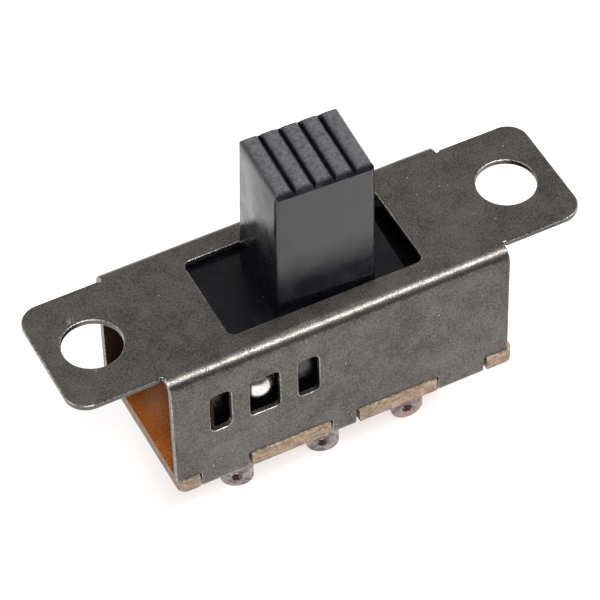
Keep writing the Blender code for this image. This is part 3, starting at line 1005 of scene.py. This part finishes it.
@dataclass
class Slider:
    """The moulded slider: a ribbed knob on a base with a detent bore and two contact grooves."""

    play: Point = (0.20, -0.15)
    play_turn: float = -2.5
    play_lean: float = 0.018
    knob_length: float = 6.54
    knob_width: float = 5.52
    draft: float = 0.10
    shoulder: float = 9.37
    ribs: int = 5
    rib_height: float = 0.46
    rib_end: float = 0.34
    base_ends: Point = (-8.40, 8.20)
    base_width: float = 8.80
    shelf_top: float = -2.40
    plateau_ends: Point = (-7.60, 5.45)
    base_top: float = -0.55
    base_bottom: float = -8.85
    groove_ceiling: float = -5.55
    groove_inner: float = 0.60
    groove_outer: float = 3.40
    bore: float = 1.30
    peg: float = 0.45

    def placed(self) -> Matrix:
        """Where the slider's play leaves it in the channel."""
        place = Matrix.Translation((*self.play, 0.0))
        return place @ Matrix.Rotation(math.radians(self.play_turn), 4, "Z")

    def rib_line(self) -> list[Point]:
        """The knob's ribbed top from left to right."""
        pitch = self.knob_length / self.ribs
        rising = [(-0.5, 0.0), (-0.49, 0.06), (-0.46, 0.28), (-0.41, 0.54), (-0.38, 0.65), (-0.35, 0.73)]
        rising += [(-0.31, 0.82), (-0.26, 0.89), (-0.20, 0.945), (-0.14, 0.975), (-0.07, 0.994)]
        crown = rising + [(0.0, 1.0)] + [(-share, rise) for share, rise in reversed(rising[1:])]
        points: list[Point] = []
        for rib in range(self.ribs):
            middle = -self.knob_length / 2 + pitch * (rib + 0.5)
            points += [(middle + share * pitch, self.shoulder + self.rib_height * rise) for share, rise in crown]
        points.append((self.knob_length / 2, self.shoulder))
        return points

    def knob(self) -> Piece:
        """Makes the knob, with its draft, its lean and rounded corners."""
        root = self.base_top - 0.2
        half = self.knob_width / 2
        profile = [(self.knob_length / 2, root), (-self.knob_length / 2, root), *self.rib_line()]
        bm = slab(profile, [], half, self.knob_width)
        bm.transform(Matrix.Rotation(math.pi / 2, 4, "X"))
        for side in (-1, 1):
            lip = (0, side * half, self.shoulder)
            slope = (0, side * self.rib_height, self.rib_end)
            geometry = bm.verts[:] + bm.edges[:] + bm.faces[:]
            cut = bmesh.ops.bisect_plane(
                bm, geom=geometry, plane_co=lip, plane_no=slope, dist=1e-4, clear_outer=True
            )
            rim = [item for item in cut["geom_cut"] if isinstance(item, bmesh.types.BMEdge)]
            bmesh.ops.holes_fill(bm, edges=rim)
        sleeve = slab(rounded_rectangle((0, 0), self.knob_length, self.knob_width, 0.30), [], 12.0, 14.0)
        piece = Piece("slider_knob", bm).carve(sleeve, "INTERSECT")
        for vert in piece.object.data.vertices:
            x, y, z = vert.co / MM
            spread = self.draft * (1 - z / self.shoulder)
            x += math.copysign(min(spread, abs(x)), x) + self.play_lean * z
            y += math.copysign(min(spread, abs(y)), y)
            vert.co = self.placed() @ Vector((x, y, z)) * MM
        return piece.soften(0.06, 3, angle=30.0)

    def base(self) -> Piece:
        """Makes the base, with its grooves, its pegs and the detent bore."""
        half = self.base_width / 2
        left, right = self.base_ends
        block = box_mesh((left, -half, self.base_bottom), (right, half, self.shelf_top))
        block.transform(self.placed())
        start, end = self.plateau_ends
        plateau = box_mesh((start, -half, self.shelf_top - 1), (end, half, self.base_top))
        plateau.transform(self.placed())
        piece = Piece("slider_base", block).carve(plateau, "UNION")
        for row in Row:
            near, far = sorted((row.value * self.groove_inner, row.value * self.groove_outer))
            groove = box_mesh((left - 1, near, self.base_bottom - 1), (right + 1, far, self.groove_ceiling))
            groove.transform(self.placed())
            piece.carve(groove)
            clip = middle_of("contact_clip_" + row.label)
            peg = (clip.x, clip.y, self.groove_ceiling - 0.075)
            piece.carve(rod_mesh(peg, self.peg, 0.95, "Z", 32), "UNION")
        ball = middle_of("detent_ball_front")
        piece.carve(rod_mesh((ball.x, 0, ball.z), self.bore, self.base_width + 2, "Y"))
        return piece.soften(0.07, 2)

    def build(self) -> list[Piece]:
        """Makes and dresses the base and the knob."""
        # painted shade: the base gets a darker copy of the slider's plastic so that the slot reads dark
        base = self.base().dress(MouldedPlastic("base_plastic_painted_shade", 1.50, (0.002, 0.002, 0.003), (0.005, 0.005, 0.007)).make())
        knob = self.knob().dress(MouldedPlastic().make())
        for face in knob.object.data.polygons:
            face.material_index = 0
        return [
            base.mount(Body.CARRIAGE, "slider_plastic", "slider"),
            knob.mount(Body.CARRIAGE, "slider_plastic"),
        ]


@dataclass
class Detent:
    """The two balls and the coil spring that pushes them apart, and the contact clips beside them."""

    wire: float = 0.16
    coil: float = 0.95
    turns: int = 6
    ball_seat: float = 0.19
    ball_colour: Colour = (0.66, 0.645, 0.62)
    ball_shade: Colour = (0.50, 0.485, 0.46)

    def ball(self, row: Row) -> Piece:
        """Makes one ball.

        Args:
            row: whose ball it is.

        Returns:
            The dressed piece.
        """
        node = "detent_ball_" + row.label
        low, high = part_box(node)
        bm = bmesh.new()
        bmesh.ops.create_icosphere(bm, subdivisions=5, radius=(high.z - low.z) / 2 / MM)
        bm.transform(Matrix.Translation(middle_of(node) + Vector((0, row.value * self.ball_seat, 0))))
        finish = PolishedMetal("ball_steel_" + row.label, self.ball_colour, self.ball_shade, (0.20, 0.30), 0.10)
        piece = Piece("ball_" + row.label, bm).dress(finish.make())
        return piece.mount(row.ball_body, "ball_steel", node)

    def spring(self) -> Piece:
        """Makes the coil spring with closed ends."""
        low, high = (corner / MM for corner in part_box("detent_spring"))
        middle = (low + high) / 2
        reach = (high.y - low.y) / 2 - self.wire
        turns = self.turns + 2
        steps, sides = turns * 40, 16
        pitch_closed = 2.2 * self.wire
        bm = bmesh.new()
        rings = []
        for i in range(steps + 1):
            turn = turns * i / steps
            share = min(max((turn - 1) / self.turns, 0.0), 1.0)
            closed = min(turn, 1.0) + max(turn - self.turns - 1, 0.0)
            along = -reach + share * 2 * (reach - pitch_closed) + closed * pitch_closed
            angle = 2 * math.pi * turn
            outward = Vector((math.cos(angle), 0, math.sin(angle)))
            centre = middle + outward * self.coil + Vector((0, along, 0))
            ring = []
            for k in range(sides):
                around = 2 * math.pi * k / sides
                offset = outward * math.cos(around) + Vector((0, 1, 0)) * math.sin(around)
                ring.append(bm.verts.new(centre + offset * self.wire))
            rings.append(ring)
        for before, after in zip(rings, rings[1:]):
            for k in range(sides):
                bm.faces.new((before[k - 1], before[k], after[k], after[k - 1]))
        bm.faces.new(rings[0])
        bm.faces.new(rings[-1])
        finish = PolishedMetal("spring_wire", (0.42, 0.42, 0.43), (0.30, 0.30, 0.31), (0.22, 0.36), 0.08)
        piece = Piece("detent_coil", bm).dress(finish.make())
        return piece.mount(Body.CARRIAGE, "spring_steel", "detent_spring")

    def build(self) -> list[Piece]:
        """Makes the balls and the spring, and dresses the clips."""
        bronze = PolishedMetal("contact_bronze", (0.62, 0.36, 0.17), (0.45, 0.25, 0.12), (0.24, 0.42), 0.12)
        finish = bronze.make()
        for row in Row:
            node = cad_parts["contact_clip_" + row.label]
            node.data.materials.clear()
            node.data.materials.append(finish)
        return [self.ball(Row.FRONT), self.ball(Row.REAR), self.spring()]


# ---------------------------------------------------------------------------------------------
# The studio
# ---------------------------------------------------------------------------------------------


@dataclass(frozen=True)
class Softbox:
    """One area light that faces the switch."""

    name: str
    place: tuple[float, float, float]
    size: tuple[float, float]
    power: float

    def hang(self, aim: Vector) -> None:
        """Adds the light.

        Args:
            aim: the point it faces.
        """
        light = bpy.data.lights.new(self.name, "AREA")
        light.shape = "RECTANGLE"
        light.size, light.size_y = self.size
        light.energy = self.power
        holder = bpy.data.objects.new(self.name, light)
        bpy.context.scene.collection.objects.link(holder)
        holder.location = self.place
        holder.rotation_euler = (aim - holder.location).to_track_quat("-Z", "Y").to_euler()


@dataclass
class Studio:
    """A pale floor, a soft sky, softboxes and the camera."""

    lens: float = 217.242
    camera_place: tuple[float, float, float] = (-64.954506, -134.885558, 165.001210)
    camera_right: tuple[float, float, float] = (0.89118, -0.45318, -0.02076)
    camera_down: tuple[float, float, float] = (-0.35125, -0.66033, -0.66377)
    floor_size: float = 3.0
    sky_low: float = 0.06
    sky_high: float = 0.80
    softboxes: tuple[Softbox, ...] = (
        Softbox("overhead", (0.05, -0.20, 0.80), (0.7, 0.45), 2.0),
        Softbox("strip", (0.14, -0.37, 0.70), (0.9, 0.15), 12.0),
        Softbox("left", (-0.80, 0.10, 0.35), (0.5, 0.3), 2.0),
    )

    def set_camera(self) -> None:
        """Places the camera."""
        camera = bpy.data.cameras.new("camera")
        camera.lens = self.lens
        camera.sensor_width = 36.0
        camera.clip_start = 0.01
        camera.clip_end = 20.0
        holder = bpy.data.objects.new("camera", camera)
        bpy.context.scene.collection.objects.link(holder)
        right = Vector(self.camera_right).normalized()
        up = -Vector(self.camera_down).normalized()
        back = right.cross(up).normalized()
        up = back.cross(right)
        turn = Matrix((right, up, back)).transposed().to_4x4()
        holder.matrix_world = Matrix.Translation(Vector(self.camera_place) * MM) @ turn
        bpy.context.scene.camera = holder

    def lay_floor(self, height: float) -> None:
        """Lays the floor.

        Args:
            height: its height in metres.
        """
        bm = bmesh.new()
        bmesh.ops.create_grid(bm, x_segments=8, y_segments=8, size=self.floor_size / 2 / MM)
        bm.transform(Matrix.Translation((0, 0, height / MM)))
        floor = Piece("floor", bm)
        recipe = Recipe("pale_floor")
        recipe.link(recipe.blend(recipe.noise(120.0, 2.0), (0.38, 0.38, 0.38), (0.42, 0.42, 0.42)), "Base Color")
        recipe.constant("Roughness", 0.9)
        recipe.constant("Emission Color", (1.0, 1.0, 1.0, 1.0))
        recipe.constant("Emission Strength", 0.64)
        floor.dress(recipe.material)
        floor.object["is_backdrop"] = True

    def light_sky(self) -> None:
        """Sets surroundings that are pale overhead and behind, and dark low in front."""
        world = bpy.data.worlds.new("sky")
        world.use_nodes = True
        tree = world.node_tree
        coordinate = tree.nodes.new("ShaderNodeTexCoord")
        toward = tree.nodes.new("ShaderNodeVectorMath")
        toward.operation = "DOT_PRODUCT"
        toward.inputs[1].default_value = (0.20, 0.45, 0.87)
        share = tree.nodes.new("ShaderNodeMapRange")
        share.interpolation_type = "SMOOTHSTEP"
        share.inputs["From Min"].default_value = -0.15
        share.inputs["From Max"].default_value = 0.90
        share.inputs["To Min"].default_value = self.sky_low
        share.inputs["To Max"].default_value = self.sky_high
        background = tree.nodes["Background"]
        background.inputs["Color"].default_value = (1.0, 1.0, 1.0, 1.0)
        tree.links.new(coordinate.outputs["Generated"], toward.inputs[0])
        tree.links.new(toward.outputs["Value"], share.inputs["Value"])
        tree.links.new(share.outputs["Result"], background.inputs["Strength"])
        bpy.context.scene.world = world

    def build(self) -> None:
        """Sets up everything round the switch."""
        low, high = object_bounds()
        self.set_camera()
        self.lay_floor(low[2])
        self.light_sky()
        aim = (Vector(low) + Vector(high)) / 2
        for softbox in self.softboxes:
            softbox.hang(aim)
        bpy.context.scene.view_settings.view_transform = "Standard"


def main() -> None:
    """Builds the switch and its studio."""
    studio = Studio()
    studio.build()
    sheet = SheetFrame()
    sheet.build()
    twists = {Row.FRONT: (-21.0, -19.0, -7.0), Row.REAR: (-16.0, -20.0, -14.0)}
    terminals = [SolderTerminal(row, i + 1, twists[row][i]) for row in Row for i in range(3)]
    terminals[2].worn_share = 0.7
    places = [middle_of(terminal.node) for terminal in terminals]
    TerminalBoard().build(sheet.tabs, places)
    for terminal in terminals:
        terminal.build()
    Slider().build()
    Detent().build()


if __name__ == "__main__":
    main()
